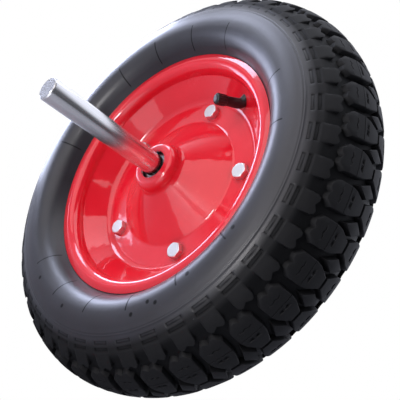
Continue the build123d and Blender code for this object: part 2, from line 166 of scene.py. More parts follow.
def sheet_outline(path, thickness):
    """Close a path into a sheet: the far side is each point moved by the thickness along its normal."""
    along = np.gradient(path, axis=0)
    along /= np.linalg.norm(along, axis=1)[:, None]
    normal = np.stack([-along[:, 1], along[:, 0]], axis=1)
    return np.concatenate([path, (path + normal * thickness)[::-1]])


def finish(piece, body, slot, *replaced):
    """Put a piece on its body, name its finish and let it stand for the CAD nodes it replaces."""
    if replaced:
        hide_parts(*replaced)
    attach(piece, body)
    piece.data.materials.append(finishes[slot])
    print(piece.name, "faces:", len(piece.data.polygons))


# %% [markdown]
# ## Finishes
# Every finish is a tree of nodes on Object coordinates, so a pattern keeps its real size and
# sticks to the piece when it turns. Three effects are node groups, because each is built once and
# then placed with its own values: a fine bump, a mask of blotches, and the place round the axle.

# %% Node helpers
def add(tree, kind, inputs=None, **settings):
    """Add a node, set its properties, and set or link its inputs."""
    item = tree.nodes.new(kind)
    for key, value in settings.items():
        setattr(item, key, value)
    for key, value in (inputs or {}).items():
        if isinstance(value, bpy.types.NodeSocket):
            tree.links.new(value, item.inputs[key])
        else:
            item.inputs[key].default_value = value
    return item


def group(name, inputs, outputs):
    """A shader node group with named inputs (kind, value) and outputs."""
    tree = bpy.data.node_groups.new(name, "ShaderNodeTree")
    for key, (kind, value) in inputs.items():
        socket = tree.interface.new_socket(key, in_out="INPUT", socket_type=kind)
        if value is not None:
            socket.default_value = value
    for key, kind in outputs.items():
        tree.interface.new_socket(key, in_out="OUTPUT", socket_type=kind)
    return tree, tree.nodes.new("NodeGroupInput"), tree.nodes.new("NodeGroupOutput")


def object_place(tree):
    """The point being shaded, in its piece's own coordinates."""
    return add(tree, "ShaderNodeTexCoord").outputs["Object"]


def calc(tree, operation, a, b=0.0):
    """One Math node, and its result."""
    return add(tree, "ShaderNodeMath", {0: a, 1: b}, operation=operation).outputs[0]


def remap(tree, value, spans, **settings):
    """A Map Range node, which keeps its result between the ends of its To range."""
    return add(tree, "ShaderNodeMapRange", {"Value": value, **spans}, **settings).outputs["Result"]


def mix_colour(tree, factor, a, b):
    """Mix two colours by a factor."""
    item = add(tree, "ShaderNodeMix", data_type="RGBA")
    for socket, value in zip((item.inputs[0], item.inputs[6], item.inputs[7]), (factor, a, b)):
        if isinstance(value, bpy.types.NodeSocket):
            tree.links.new(value, socket)
        else:
            socket.default_value = value
    return item.outputs[2]


def stained(tree, colour, mask, share, stain):
    """A colour mixed towards a stain by a share of a mask."""
    return mix_colour(tree, calc(tree, "MULTIPLY", mask, share), colour, stain)


def varied(tree, value, mask, amount):
    """A value plus an amount times a mask."""
    return calc(tree, "ADD", calc(tree, "MULTIPLY", mask, amount), value)


def rgb(red, green, blue):
    """A linear colour with full alpha."""
    return (red, green, blue, 1.0)


# %% Group: fine bump
FLOAT, VECTOR = "NodeSocketFloat", "NodeSocketVector"
grain, taken, given = group(
    "fine_grain",
    {"Scale": (FLOAT, 900.0), "Depth": (FLOAT, 0.00005),
     "Wave Scale": (FLOAT, 60.0), "Wave Depth": (FLOAT, 0.0)},
    {"Normal": VECTOR},
)
place = object_place(grain)
fine = add(grain, "ShaderNodeTexNoise",
           {"Vector": place, "Scale": taken.outputs["Scale"], "Detail": 3.0})
wave = add(grain, "ShaderNodeTexNoise", {"Vector": place, "Scale": taken.outputs["Wave Scale"]})
fine_height = calc(grain, "MULTIPLY", fine.outputs["Fac"], taken.outputs["Depth"])
wave_height = calc(grain, "MULTIPLY", wave.outputs["Fac"], taken.outputs["Wave Depth"])
both_heights = calc(grain, "ADD", fine_height, wave_height)
bump = add(grain, "ShaderNodeBump", {"Height": both_heights, "Distance": 1.0})
grain.links.new(bump.outputs["Normal"], given.inputs["Normal"])

# %% Group: blotches
blotches, taken, given = group(
    "blotches", {"Scale": (FLOAT, 30.0), "From": (FLOAT, 0.5), "To": (FLOAT, 0.7)}, {"Mask": FLOAT}
)
cloud = add(
    blotches, "ShaderNodeTexNoise",
    {"Vector": object_place(blotches), "Scale": taken.outputs["Scale"], "Detail": 6.0, "Roughness": 0.65},
)
spread = remap(
    blotches, cloud.outputs["Fac"],
    {"From Min": taken.outputs["From"], "From Max": taken.outputs["To"]}, interpolation_type="SMOOTHSTEP",
)
blotches.links.new(spread, given.inputs["Mask"])

# %% Group: place round the axle
polar, taken, given = group("round_the_axle", {}, {"Radius": FLOAT, "Angle": FLOAT})
parts = add(polar, "ShaderNodeSeparateXYZ", {"Vector": object_place(polar)})
square_x = calc(polar, "POWER", parts.outputs["X"], 2.0)
square_z = calc(polar, "POWER", parts.outputs["Z"], 2.0)
polar.links.new(calc(polar, "SQRT", calc(polar, "ADD", square_x, square_z)), given.inputs["Radius"])
polar.links.new(calc(polar, "ARCTAN2", parts.outputs["Z"], parts.outputs["X"]), given.inputs["Angle"])
print("node groups:", [tree.name for tree in bpy.data.node_groups])


# %% A new finish
def finish_tree(name, **constants):
    """A material with its Principled shader, and the shader's plain constants set on it."""
    made = bpy.data.materials.new(name)
    made.use_nodes = True
    shader = made.node_tree.nodes["Principled BSDF"]
    for key, value in constants.items():
        shader.inputs[key.replace("_", " ")].default_value = value
    return made, made.node_tree, shader


def use_group(tree, used, **values):
    """Place a group in a tree, with its own values."""
    item = tree.nodes.new("ShaderNodeGroup")
    item.node_tree = used
    for key, value in values.items():
        item.inputs[key.replace("_", " ")].default_value = value
    return item


def band(tree, value, low, high, soft):
    """1 where a value lies between low and high, fading over soft on both sides."""
    up = remap(tree, value, {"From Min": low - soft, "From Max": low})
    down = remap(tree, value, {"From Min": high + soft, "From Max": high})
    return calc(tree, "MULTIPLY", up, down)


finishes = {}

# %% [markdown]
# ## Red paint
# The rim is powder coated: a deep, even red under a thick clear gloss that is never quite flat.
# The coat gives the sharp white lights, and a slow wave in its bump makes them wander a little,
# as they do on paint. Where the sheet bends inwards, its sides shade each other. An ambient
# occlusion node finds those bends, and that shade is painted into the base colour as a deeper
# red. Fine dust dulls the colour a little.

# %% Paint
RED, LIGHT_RED, PAINTED_SHADE_RED = rgb(0.86, 0.008, 0.024), rgb(0.92, 0.014, 0.034), rgb(0.42, 0.003, 0.010)
DUST = rgb(0.75, 0.28, 0.27)
BEND_REACH = 0.028              # how far away a neighbour still shades the paint
WAVES, COAT_DEPTH = 45.0, 0.0003    # waves in a metre, and the height of those in the coat

made, tree, shader = finish_tree("red_paint", Coat_Weight=0.95, Coat_Roughness=0.05, Coat_IOR=1.65,
                                 Specular_IOR_Level=0.12)
bloom = use_group(tree, blotches, Scale=14.0, From=0.42, To=0.72).outputs["Mask"]
dust = use_group(tree, blotches, Scale=420.0, From=0.66, To=0.78).outputs["Mask"]
# Painted shade: where the ambient occlusion finds a nearby surface, the base colour is mixed towards a dark
# red that stands in for the shade of the bend.
open_air = add(tree, "ShaderNodeAmbientOcclusion", {"Distance": BEND_REACH}, samples=8).outputs["AO"]
painted_bend_shade = remap(tree, open_air, {"From Min": 0.90, "From Max": 0.50, "To Max": 0.90})
paint = mix_colour(tree, painted_bend_shade, mix_colour(tree, bloom, RED, LIGHT_RED), PAINTED_SHADE_RED)
tree.links.new(stained(tree, paint, dust, 0.20, DUST), shader.inputs["Base Color"])
tree.links.new(varied(tree, 0.22, bloom, 0.08), shader.inputs["Roughness"])
skin = use_group(tree, grain, Scale=700.0, Depth=0.000012, Wave_Scale=WAVES, Wave_Depth=0.00022)
tree.links.new(skin.outputs["Normal"], shader.inputs["Normal"])
wave = add(tree, "ShaderNodeTexNoise", {"Vector": object_place(tree), "Scale": WAVES})
wave_height = calc(tree, "MULTIPLY", wave.outputs["Fac"], COAT_DEPTH)
sway = add(tree, "ShaderNodeBump", {"Height": wave_height, "Distance": 1.0})
tree.links.new(sway.outputs["Normal"], shader.inputs["Coat Normal"])
finishes["red_paint"] = made

# %% [markdown]
# ## Tyre rubber
# New moulded rubber is nearly black, but its smooth side wall has a bluish sheen and the tread is
# duller. The sheen is a coat, because a coat's weight can change over the surface. The mesh
# carries how far each point lies below the tops of the blocks, and grooves and pockets get painted
# shade from it: their colour is darker and their coat thinner, where shade would fall.

# %% Tyre: colour of tread and wall
TREAD_FROM, WALL_TO = 0.1665, 0.1600        # radii between which the wall turns into tread
TREAD_BLACK = rgb(0.0125, 0.0125, 0.0134)
WALL_BLACK, WALL_GREY = rgb(0.0165, 0.0160, 0.0200), rgb(0.0240, 0.0235, 0.0310)
# The deepest black is the hair lines' and specks' own colour, and also painted shade in the grooves and
# pockets.
SPECK_GREY, MARKS_AND_SHADE_BLACK = rgb(0.10, 0.10, 0.11), rgb(0.0035, 0.0035, 0.0040)

made, tree, shader = finish_tree("tyre_rubber", Specular_IOR_Level=0.18, Coat_Roughness=0.33)
where = use_group(tree, polar)
radius, angle = where.outputs["Radius"], where.outputs["Angle"]
wall = remap(tree, radius, {"From Min": TREAD_FROM, "From Max": WALL_TO})
mottle = use_group(tree, blotches, Scale=22.0, From=0.35, To=0.75).outputs["Mask"]
specks = use_group(tree, blotches, Scale=260.0, From=0.70, To=0.76).outputs["Mask"]
rubber = mix_colour(tree, wall, TREAD_BLACK, mix_colour(tree, mottle, WALL_BLACK, WALL_GREY))
rubber = stained(tree, rubber, specks, 0.35, SPECK_GREY)

# %% [markdown]
# The mould leaves hair lines across the lower wall, where it lets the air out. They stand at some
# of eighteen even places: a line is where the sine of nine times the angle is nearly zero, and
# a random number for each place says whether it is there. Seven black specks of loose rubber lie
# on the front wall, and are dark where the distance to a speck's middle is small.

# %% Tyre: hair lines, black specks, painted groove shade and gloss
LINE_PLACES = 18
LINE_SHARE_LEFT_OUT = 0.42
LINES_FROM, LINES_TO, LINE_END = 0.1225, 0.1410, 0.001
SPECK_Y = -0.0488
SPECKS = ((0.1206, -0.0728), (0.1272, -0.0683), (0.1336, -0.0367), (0.1156, -0.0891),
          (0.0443, -0.1362), (-0.0071, -0.1428), (0.1392, 0.0094))

half_places = LINE_PLACES / 2
line_wave = calc(tree, "ABSOLUTE", calc(tree, "SINE", calc(tree, "MULTIPLY", angle, half_places)))
hair = remap(tree, line_wave, {"From Min": 0.060, "From Max": 0.025})
line_number = calc(tree, "ROUND", calc(tree, "MULTIPLY", angle, half_places / pi))
line_number = calc(tree, "MODULO", calc(tree, "ADD", line_number, LINE_PLACES), LINE_PLACES)
chance = add(tree, "ShaderNodeTexWhiteNoise", {"W": line_number}, noise_dimensions="1D")
shown = calc(tree, "GREATER_THAN", chance.outputs["Value"], LINE_SHARE_LEFT_OUT)
lines = calc(tree, "MULTIPLY", hair, band(tree, radius, LINES_FROM, LINES_TO, LINE_END))
lines = calc(tree, "MULTIPLY", lines, shown)
# Painted shade: grooves and pockets are painted darker by their depth below the blocks' tops, which the mesh
# carries.
sunk = add(tree, "ShaderNodeAttribute", attribute_name="sunk").outputs["Fac"]
dark = calc(tree, "MAXIMUM", lines, sunk)
place = object_place(tree)
for x, z in SPECKS:
    away = add(tree, "ShaderNodeVectorMath", {0: place, 1: (x, SPECK_Y, z)}, operation="DISTANCE")
    speck = remap(tree, away.outputs["Value"], {"From Min": 0.0024, "From Max": 0.0015})
    dark = calc(tree, "MAXIMUM", dark, speck)
tree.links.new(mix_colour(tree, dark, rubber, MARKS_AND_SHADE_BLACK), shader.inputs["Base Color"])
gloss = remap(tree, wall, {"To Min": 0.58, "To Max": 0.45})
tree.links.new(varied(tree, gloss, mottle, 0.05), shader.inputs["Roughness"])
skin = use_group(tree, grain, Scale=1500.0, Depth=0.00003, Wave_Scale=70.0, Wave_Depth=0.0003)
dip = add(tree, "ShaderNodeBump", {"Height": calc(tree, "MULTIPLY", lines, -0.0001),
                                   "Distance": 1.0, "Normal": skin.outputs["Normal"]})
tree.links.new(dip.outputs["Normal"], shader.inputs["Normal"])
# The coat thins on the hair lines and specks, and in the painted shade of grooves and pockets.
bare = calc(tree, "SUBTRACT", 1.0, dark)
tree.links.new(calc(tree, "MULTIPLY", calc(tree, "MULTIPLY", wall, 0.85), bare),
               shader.inputs["Coat Weight"])
finishes["tyre_rubber"] = made

# %% [markdown]
# ## Bare and plated steel
# The axle is bright drawn bar: fine lines run along it, a few dark specks and a dull bloom sit on
# it. The bolts are zinc plated, which is whiter and softer. One function makes them all, with the
# lines stretched along the axle by scaling the coordinates.

# %% Steel
LENGTHWISE = (1.0, 0.025, 1.0)
STAIN_BROWN, PIT_BLACK = rgb(0.30, 0.27, 0.25), rgb(0.05, 0.045, 0.04)


def steel(name, light, dark, roughness, line_depth, stain_from=0.62):
    """Metal with lines along Y: noise read at points whose Y is shrunk forty times."""
    made, tree, shader = finish_tree(name, Metallic=1.0)
    drawn = add(tree, "ShaderNodeMapping", {"Vector": object_place(tree), "Scale": LENGTHWISE})
    lines = add(tree, "ShaderNodeTexNoise",
                {"Vector": drawn.outputs["Vector"], "Scale": 900.0, "Detail": 4.0}).outputs["Fac"]
    stain = use_group(tree, blotches, Scale=70.0, From=stain_from, To=stain_from + 0.12).outputs["Mask"]
    pits = use_group(tree, blotches, Scale=330.0, From=0.70, To=0.74).outputs["Mask"]
    colour = stained(tree, mix_colour(tree, lines, dark, light), stain, 0.35, STAIN_BROWN)
    tree.links.new(stained(tree, colour, pits, 0.85, PIT_BLACK), shader.inputs["Base Color"])
    rough = varied(tree, varied(tree, roughness, lines, 0.12), stain, 0.12)
    tree.links.new(rough, shader.inputs["Roughness"])
    bump = add(tree, "ShaderNodeBump", {"Height": lines, "Distance": line_depth})
    tree.links.new(bump.outputs["Normal"], shader.inputs["Normal"])
    finishes[name] = made


steel("bright_steel", rgb(0.92, 0.92, 0.93), rgb(0.66, 0.65, 0.65), 0.17, 0.00003)
steel("zinc", rgb(0.92, 0.91, 0.92), rgb(0.80, 0.79, 0.79), 0.30, 0.00002, 0.70)
steel("plain_steel", rgb(0.42, 0.42, 0.43), rgb(0.28, 0.28, 0.29), 0.32, 0.00003)
steel("bearing_steel", rgb(0.70, 0.70, 0.71), rgb(0.58, 0.58, 0.60), 0.12, 0.00001, 0.72)
steel("valve_brass", rgb(0.78, 0.74, 0.64), rgb(0.64, 0.60, 0.50), 0.22, 0.00002)

# %% [markdown]
# ## Small black pieces
# The valve's rubber, its cap, the bearing seals and the hidden tube are black, and the bearing's
# cage is a pale nylon. They differ in gloss and in the size of their grain.

# %% Rubber and plastic
def moulded(name, colour, pale, roughness, scale, depth):
    """Moulded rubber or plastic: a colour with paler blotches and a fine bump."""
    made, tree, shader = finish_tree(name, Specular_IOR_Level=0.5)
    worn = use_group(tree, blotches, Scale=160.0, From=0.45, To=0.75).outputs["Mask"]
    tree.links.new(mix_colour(tree, worn, colour, pale), shader.inputs["Base Color"])
    tree.links.new(varied(tree, roughness, worn, 0.10), shader.inputs["Roughness"])
    skin = use_group(tree, grain, Scale=scale, Depth=depth)
    tree.links.new(skin.outputs["Normal"], shader.inputs["Normal"])
    finishes[name] = made


moulded("valve_rubber", rgb(0.010, 0.010, 0.011), rgb(0.022, 0.021, 0.023), 0.30, 2500.0, 0.00002)
moulded("cap_plastic", rgb(0.011, 0.011, 0.012), rgb(0.024, 0.024, 0.026), 0.28, 3500.0, 0.00001)
moulded("seal_rubber", rgb(0.012, 0.012, 0.013), rgb(0.028, 0.027, 0.026), 0.50, 2500.0, 0.00003)
moulded("tube_rubber", rgb(0.018, 0.018, 0.019), rgb(0.040, 0.040, 0.042), 0.55, 1200.0, 0.00004)
moulded("cage_plastic", rgb(0.34, 0.29, 0.19), rgb(0.42, 0.36, 0.25), 0.45, 2500.0, 0.00002)
print("finishes:", sorted(finishes))

# %% [markdown]
# Every CAD node takes the finish that its record names. The ones that are replaced further on
# keep it too, because they stay in the model for collision.

# %% Dress the CAD nodes
slot_of = {part["node"]: part["material_slot"] for part in frame["record"]["subparts"]}
for name, slot in slot_of.items():
    slots = nodes[name].data.materials
    if len(slots) == 0:
        slots.append(finishes[slot])
    for k in range(len(slots)):
        slots[k] = finishes[slot]

# %% [markdown]
# ## The tyre
# The tyre is one moulding, so it is one surface: rows run round its section, columns run round
# the wheel, and each point is pushed out by the height of the tread there. A plain grid would cut
# the blocks' edges into steps. So the grid bends: in every row the columns stand where the
# walls of the blocks are, one column at the foot of a wall and one at its top. The pattern
# repeats 42 times round the wheel, and the back is the front's mirror image.

# %% Section of the tyre
PITCHES = 42
SECTION_R, HALF_WIDTH, CARCASS = 142.0, 50.0, 45.0
WIDTH_SHARE = 15        # how many times less the tread's height adds sideways than outwards
TREAD_PHASE = radians(1.3)
WALL_RUN = 0.013        # share of a pitch between the foot of a wall and its top, halved
EDGE_ROUND = 0.45       # how much lower a block stands at its edge, in mm


def hull(deg):
    """Height of the blocks' tops over the carcass, in mm, at an angle from the crown."""
    return np.interp(deg, [0, 20, 37.5, 50, 54, 60, 67, 72], [5.45, 5.7, 5.3, 4.5, 3.5, 2.3, 0.9, 0.0])


def valley(deg):
    """Height of the ground between the shoulder blocks: it climbs to meet their outer ends."""
    return np.interp(deg, [41, 49, 54.2], [0.0, 2.0, hull(54.2)])


def on_tread(deg, height):
    """Point (radius, y) of the tread: an ellipse whose half axes grow with the height."""
    angle = np.radians(deg)
    return np.stack([SECTION_R + (CARCASS + height) * np.cos(angle),
                     (HALF_WIDTH + height / WIDTH_SHARE) * np.sin(angle)], axis=-1)


# %% [markdown]
# A row is described by six numbers: the angle from the crown, where the inner wall and the outer
# wall stand (in pitches from the middle of a shoulder block), and the heights inside the first,
# between them, and outside the second. From the crown outwards come the pointed centre blocks,
# the long second blocks with a comb, a straight sipe and a zigzag one, the shoulder blocks, two
# rows of sunk pockets with a raised middle, and two thin ribs.

# %% Rows of the tread
NEAR_SPARE, FAR_SPARE = 0.05, 0.15      # where rows with no inner wall keep its columns, in pitches
SHOULDER = 0.295        # half the length of a shoulder block, in pitches
TRENCH = 0.055          # width of the deep edge of a pocket, in pitches
rows = []


def row(deg, inner, outer, low, middle, high, comb=0.0, bend=0.0, notch=0.0, corner=0.0):
    """Add a row. comb sinks the columns beside the middle of the second block, bend zigzags the row,
    notch and corner shift it to cut the outer end of a second block and the inner end of a shoulder one."""
    rows.append((deg, inner, outer, low, middle, high, comb, bend, notch, corner))


def centre_reach(deg):
    """Half the length of a centre block, in pitches, at an angle from the crown."""
    return np.interp(deg, [0, 12.4], [0.205, 0.0])


def groove_reach(deg):
    """Half the width of the groove between two second blocks, in pitches."""
    return np.interp(deg, [1.3, 12.8, 18.2, 30.6, 36.2], [0.33, 0.157, 0.125, 0.115, 0.27])


for deg in (0.0, 0.9):
    row(deg, centre_reach(deg), 0.33, hull(0), 0.0, 0.0)
for deg in (1.5, 6.6, 11.4):
    row(deg, centre_reach(deg), groove_reach(deg), hull(deg), 0.0, hull(deg))
row(13.1, 0.02, groove_reach(13.1), 0.0, 0.0, hull(13.2))
for deg, sunk in ((14.2, 0.0), (14.5, 1.6), (16.9, 1.6), (17.2, 0.0)):
    row(deg, NEAR_SPARE, groove_reach(deg), 0.0, 0.0, hull(deg), comb=sunk)
for deg, sunk in ((19.0, 0.0), (19.35, 1.5), (19.7, 0.0)):
    row(deg, NEAR_SPARE, groove_reach(deg), 0.0, 0.0, hull(deg) - sunk)
for deg, sunk in ((26.2, 0.0), (26.75, 2.4), (27.3, 0.0)):
    row(deg, NEAR_SPARE, groove_reach(deg), 0.0, 0.0, hull(deg), comb=sunk, bend=0.8)
for deg in (30.6, 33.6):
    row(deg, NEAR_SPARE, groove_reach(deg), 0.0, 0.0, hull(deg))
row(36.0, 0.10, groove_reach(36.0), 0.0, 0.0, hull(36) - EDGE_ROUND, notch=-2.2)
row(36.6, 0.10, groove_reach(36.2), 0.0, 0.0, 0.0, notch=-2.2)
row(39.2, FAR_SPARE, SHOULDER, 0.0, 0.0, 0.0, corner=1.0)
row(39.9, FAR_SPARE, SHOULDER, *[hull(40) - EDGE_ROUND] * 2, 0.0, corner=1.0)
for deg in (43.6, 46.6, 49.8, 54.2):
    row(deg, FAR_SPARE, SHOULDER, hull(deg), hull(deg), valley(deg))
for start, end, edge, pillow in ((55.2, 59.6, 2.3, 1.1), (61.2, 65.2, 2.0, 1.0)):
    middle = (start + end) / 2
    for deg, deep, floor in ((start, 0, 0), (start + 0.5, edge, edge), (middle, edge, pillow),
                             (end - 0.5, edge, edge), (end, 0, 0)):
        row(deg, SHOULDER - TRENCH, SHOULDER, hull(deg) - floor, hull(deg) - deep, hull(deg))
row(67.4, FAR_SPARE, SHOULDER, *[hull(67.4)] * 3)
for foot in (69.4, 71.4):
    for deg, rise in ((foot, 0.0), (foot + 0.5, 0.65), (foot + 1.0, 0.0)):
        row(deg, FAR_SPARE, SHOULDER, *[hull(deg) + rise] * 3)
for deg in (77.0, 84.0):
    row(deg, FAR_SPARE, SHOULDER, 0.0, 0.0, 0.0)
rows = np.array(rows, dtype=float)
print("rows across half the tread:", len(rows))

# %% [markdown]
# Ten columns cover half a pitch: the middle, two at the inner wall, one between the walls, two at
# the outer wall, one just past it where the block's edge is round, and three across the block.
# Mirrored, they make the eighteen columns of a whole pitch. Three lists of ten numbers say how far
# each column swings, in degrees of the section, where a row zigzags, is notched or has its corner
# cut.

# %% Columns of one pitch
PAST_WALL = 2.6         # how far the edge column lies past the outer wall, in wall runs
WALL_LEAST, WALL_MOST, EDGE_MOST = 0.004, 0.49, 0.493   # how near the columns may come to 0 and 0.5
ACROSS_BLOCK = (0.40, 0.72, 1.0)
ZIGZAG = np.array([0, 0, 0, 0, 0, 0, -0.6, 0.4, -0.7, 0.8])
BLOCK_END = np.array([0, 0, 0, 0, 0, 0, 0, 0, 0.4, 1])
CORNER_CUT = np.array([2.3, 0, 0, 0.5, 2.8, 2.8, 1.6, 0.5, 0, 0])


def one_pitch(rows):
    """Place in pitches, angle and height of every point of half the section, over one pitch."""
    deg, inner, outer, low, middle, high, comb, bend, notch, corner = (rows[:, k, None] for k in range(10))
    past = np.minimum(outer + PAST_WALL * WALL_RUN, EDGE_MOST)
    three = [past + (0.5 - past) * share for share in ACROSS_BLOCK]
    across = np.hstack([
        0 * inner, np.maximum(inner - WALL_RUN, WALL_LEAST), inner + WALL_RUN, (inner + outer) / 2,
        outer - WALL_RUN, np.minimum(outer + WALL_RUN, WALL_MOST), past, *three,
    ])
    height = np.hstack([low, low, middle, middle, middle, high, high, high, high, high])
    step = height[:, 5:6] - height[:, 4:5]
    height[:, 5:6] -= EDGE_ROUND * (step > 1)
    height[:, 4:5] -= EDGE_ROUND * (step < -1)
    height[:, 1:2] -= EDGE_ROUND * (low - middle > 1)
    height[:, 8:9] -= comb
    height[:, 9:10] -= comb * (bend > 0)
    angle = deg + ZIGZAG * bend + BLOCK_END * notch + CORNER_CUT * corner
    back = slice(-2, 0, -1)
    whole_across = np.hstack([across, 1 - across[:, back]])
    whole_height = np.hstack([height, height[:, back]])
    whole_angle = np.hstack([angle, angle[:, back]])
    return whole_across, whole_angle, whole_height


across, angle, height = one_pitch(rows)
COLUMNS = across.shape[1]
print("columns in a pitch:", COLUMNS)

# %% [markdown]
# Below the tread the side wall draws in to the bead. That part and the hidden inside are plain
# outlines, the same at every column. The whole section is then one closed loop: tread, wall, lip,
# bead and inside of one half, and the same of the other.

# %% Close the section
low_wall = rounded_path([(142.0, 50.0), (128.5, 48.5), (120.5, 33.7)], [22.0], steps=6)[1:]
lip = np.array([(120.5, 33.7), (119.4, 32.2), (118.6, 30.35)])
hidden = np.array([(114.6, 30.9), (109.6, 29.0), (107.35, 25.0), (106.55, 21.4), (109.05, 20.0),
                   (123.0, 32.5), (142.0, 45.0), (162.0, 35.0), (178.0, 0.0)])
plain = np.concatenate([low_wall[:-1], lip, hidden])
tread_points = on_tread(angle, height)
plain_points = np.broadcast_to(plain[:, None, :], (len(plain), COLUMNS, 2))
half_section = np.concatenate([tread_points, plain_points])
half_sunk = np.concatenate([hull(angle) - height, np.zeros((len(plain), COLUMNS))])
half_across = np.concatenate([across, np.repeat(np.arange(COLUMNS)[None, :] / COLUMNS, len(plain), axis=0)])
mirrored = (half_section * (1, -1))[1:-1][::-1]
section = np.concatenate([half_section, mirrored])
sunk = np.concatenate([half_sunk, half_sunk[1:-1][::-1]])
places = np.concatenate([half_across, half_across[1:-1][::-1]])

# %% Round the wheel
pitch_angle = 2 * pi / PITCHES
turns = TREAD_PHASE + (places[:, None, :] + np.arange(PITCHES)[None, :, None]) * pitch_angle
turns = turns.reshape(len(section), -1)
radius = np.tile(section[..., 0], (1, PITCHES))
depth = np.tile(section[..., 1], (1, PITCHES))
points = np.stack([radius * np.cos(turns), depth, radius * np.sin(turns)], axis=-1) * MM
tyre = make_mesh("moulded_tyre", points.reshape(-1, 3), grid_quads(*turns.shape), sharp_deg=32.0)
# Painted shade: past this depth below the blocks' tops, the rubber is painted darker, fully so 1 mm deeper.
SHADE_START_DEPTH = 1.2           # depth in mm below the blocks' tops from which the rubber gets darker
painted_groove_shade = tyre.data.attributes.new("sunk", "FLOAT", "POINT")
painted_groove_shade.data.foreach_set("value", np.clip(np.tile(sunk, (1, PITCHES)).ravel() - SHADE_START_DEPTH, 0, 1))
finish(tyre, "wheel", "tyre_rubber", "tyre")
print("tyre triangles:", 2 * len(tyre.data.polygons))

# %% [markdown]
# ## The rim
# Each half is one disc of 2 mm sheet, pressed into a flange that rolls over the tyre's bead, a
# tapered seat, a flat ring for the bolts, a shallow cone and the cup that holds a bearing. Its
# outline runs through eight corners, all but the two ends rounded. The sheet is that outline and
# a second one 2 mm behind it.

# %% Rim halves
SHEET = 2.0
rim_corners = [(119.0, 32.5), (105.2, 34.93), (104.4, 21.0), (86.3, 2.0), (63.9, 2.0), (24.03, 25.5),
               (23.03, 36.2), (13.5, 36.2)]
rim_rounds = [9.0, 3.0, 10.0, 6.0, 6.0, 5.5]
rim_path = rounded_path(rim_corners, rim_rounds, steps=9)
rim_sheet = sheet_outline(rim_path, SHEET)
back_rim = lathe("back_rim", rim_sheet, segments=224)
front_rim = lathe("front_rim", rim_sheet * (1, -1), segments=224)
finish(back_rim, "wheel", "red_paint", "rim_back_half")
finish(front_rim, "wheel", "red_paint", "rim_front_half")

# %% [markdown]
# ## The axle and what shows in the hub
# The axle is a bar with bevelled ends and two grooves. A spring ring in each groove stops it from
# sliding out, and behind the ring lies the bearing, with its steel rings and its black seal.

# %% Turned pieces
GROOVE_OUT, GROOVE_IN = 32.88, 31.6
AXLE_R, AXLE_END, BEVEL, GROOVE_R = 10.0, 155.0, 1.2, 9.4
half_axle = [(AXLE_R, GROOVE_IN), (GROOVE_R, GROOVE_IN), (GROOVE_R, GROOVE_OUT), (AXLE_R, GROOVE_OUT),
             (AXLE_R, AXLE_END - BEVEL), (AXLE_R - 0.15, AXLE_END - BEVEL + 0.3), (AXLE_R - BEVEL, AXLE_END)]


def bar(name, outline, segments=96):
    """A solid bar: an outline from one end's rim to the other's, turned, with a flat face at each end."""
    outline = np.array(outline, dtype=float) * MM
    turns = np.linspace(0, 2 * pi, segments, endpoint=False)[None, :]
    x = outline[:, 0, None] * np.cos(turns)
    z = outline[:, 0, None] * np.sin(turns)
    y = np.broadcast_to(outline[:, 1, None], x.shape)
    points = np.stack([x, y, z], axis=-1).reshape(-1, 3)
    last = (len(outline) - 1) * segments
    caps = [list(range(segments)), list(range(last, last + segments))[::-1]]
    return make_mesh(name, points, grid_quads(len(outline), segments, wrap_rows=False), caps, sharp_deg=30)


back_to_front = half_axle[::-1] + [(r, -y) for r, y in half_axle]
finish(bar("axle_bar", back_to_front), "axle", "bright_steel", "axle")

# %% Bearing faces
OUT, IN = 31.6, 19.6                    # the two faces of a bearing
BORE_R, INNER_R, OUTER_R, SEAT_R = 10.02, 12.9, 17.9, 21.0
INNER_RACE, OUTER_RACE = 12.2, 18.6     # where the rings are relieved for the balls
LAND, RELIEF = 2.4, 4.1                 # depth of a ring's plain edge, and where its relief ends
SEAL_IN, SEAL_OUT = 13.02, 17.87
turned_pieces = {
    "outer_ring": ([(OUTER_R, IN), (20.0, IN), (SEAT_R, IN + 1), (SEAT_R, OUT - 1), (20.0, OUT),
                    (OUTER_R, OUT), (OUTER_R, OUT - LAND), (OUTER_RACE, OUT - RELIEF),
                    (OUTER_RACE, IN + RELIEF), (OUTER_R, IN + LAND)], "bearing_steel", "wheel"),
    "inner_ring": ([(BORE_R, IN), (INNER_R, IN), (INNER_R, IN + LAND), (INNER_RACE, IN + RELIEF),
                    (INNER_RACE, OUT - RELIEF), (INNER_R, OUT - LAND), (INNER_R, OUT), (BORE_R, OUT)],
                   "bearing_steel", "axle"),
    "outer_seal": ([(SEAL_IN, OUT - 1.5), (SEAL_OUT, OUT - 1.5), (SEAL_OUT, OUT - 0.5), (16.4, OUT - 0.5),
                    (15.9, OUT - 0.8), (13.9, OUT - 0.8), (13.4, OUT - 0.5), (SEAL_IN, OUT - 0.5)],
                   "seal_rubber", "wheel"),
    "inner_seal": ([(SEAL_IN, IN + 0.5), (SEAL_OUT, IN + 0.5), (SEAL_OUT, IN + 1.5),
                    (SEAL_IN, IN + 1.5)], "seal_rubber", "wheel"),
}
for end, side in (("back", 1), ("front", -1)):
    for part, (outline, slot, body) in turned_pieces.items():
        node = f"{end}_bearing_{part}"
        finish(lathe(f"{end}_{part}_turned", np.array(outline) * (1, side)), body, slot, node)

# %% [markdown]
# ## Bolts
# Five bolts hold the halves together. A head is a hexagon: its radius at an angle t is half the
# flats' distance over cos of t within its 60 degree sector. Its top is bevelled by the cone that
# the maker's die leaves. The shank carries a thread, which is a ring whose radius swings up and
# down once for each pitch as it climbs.

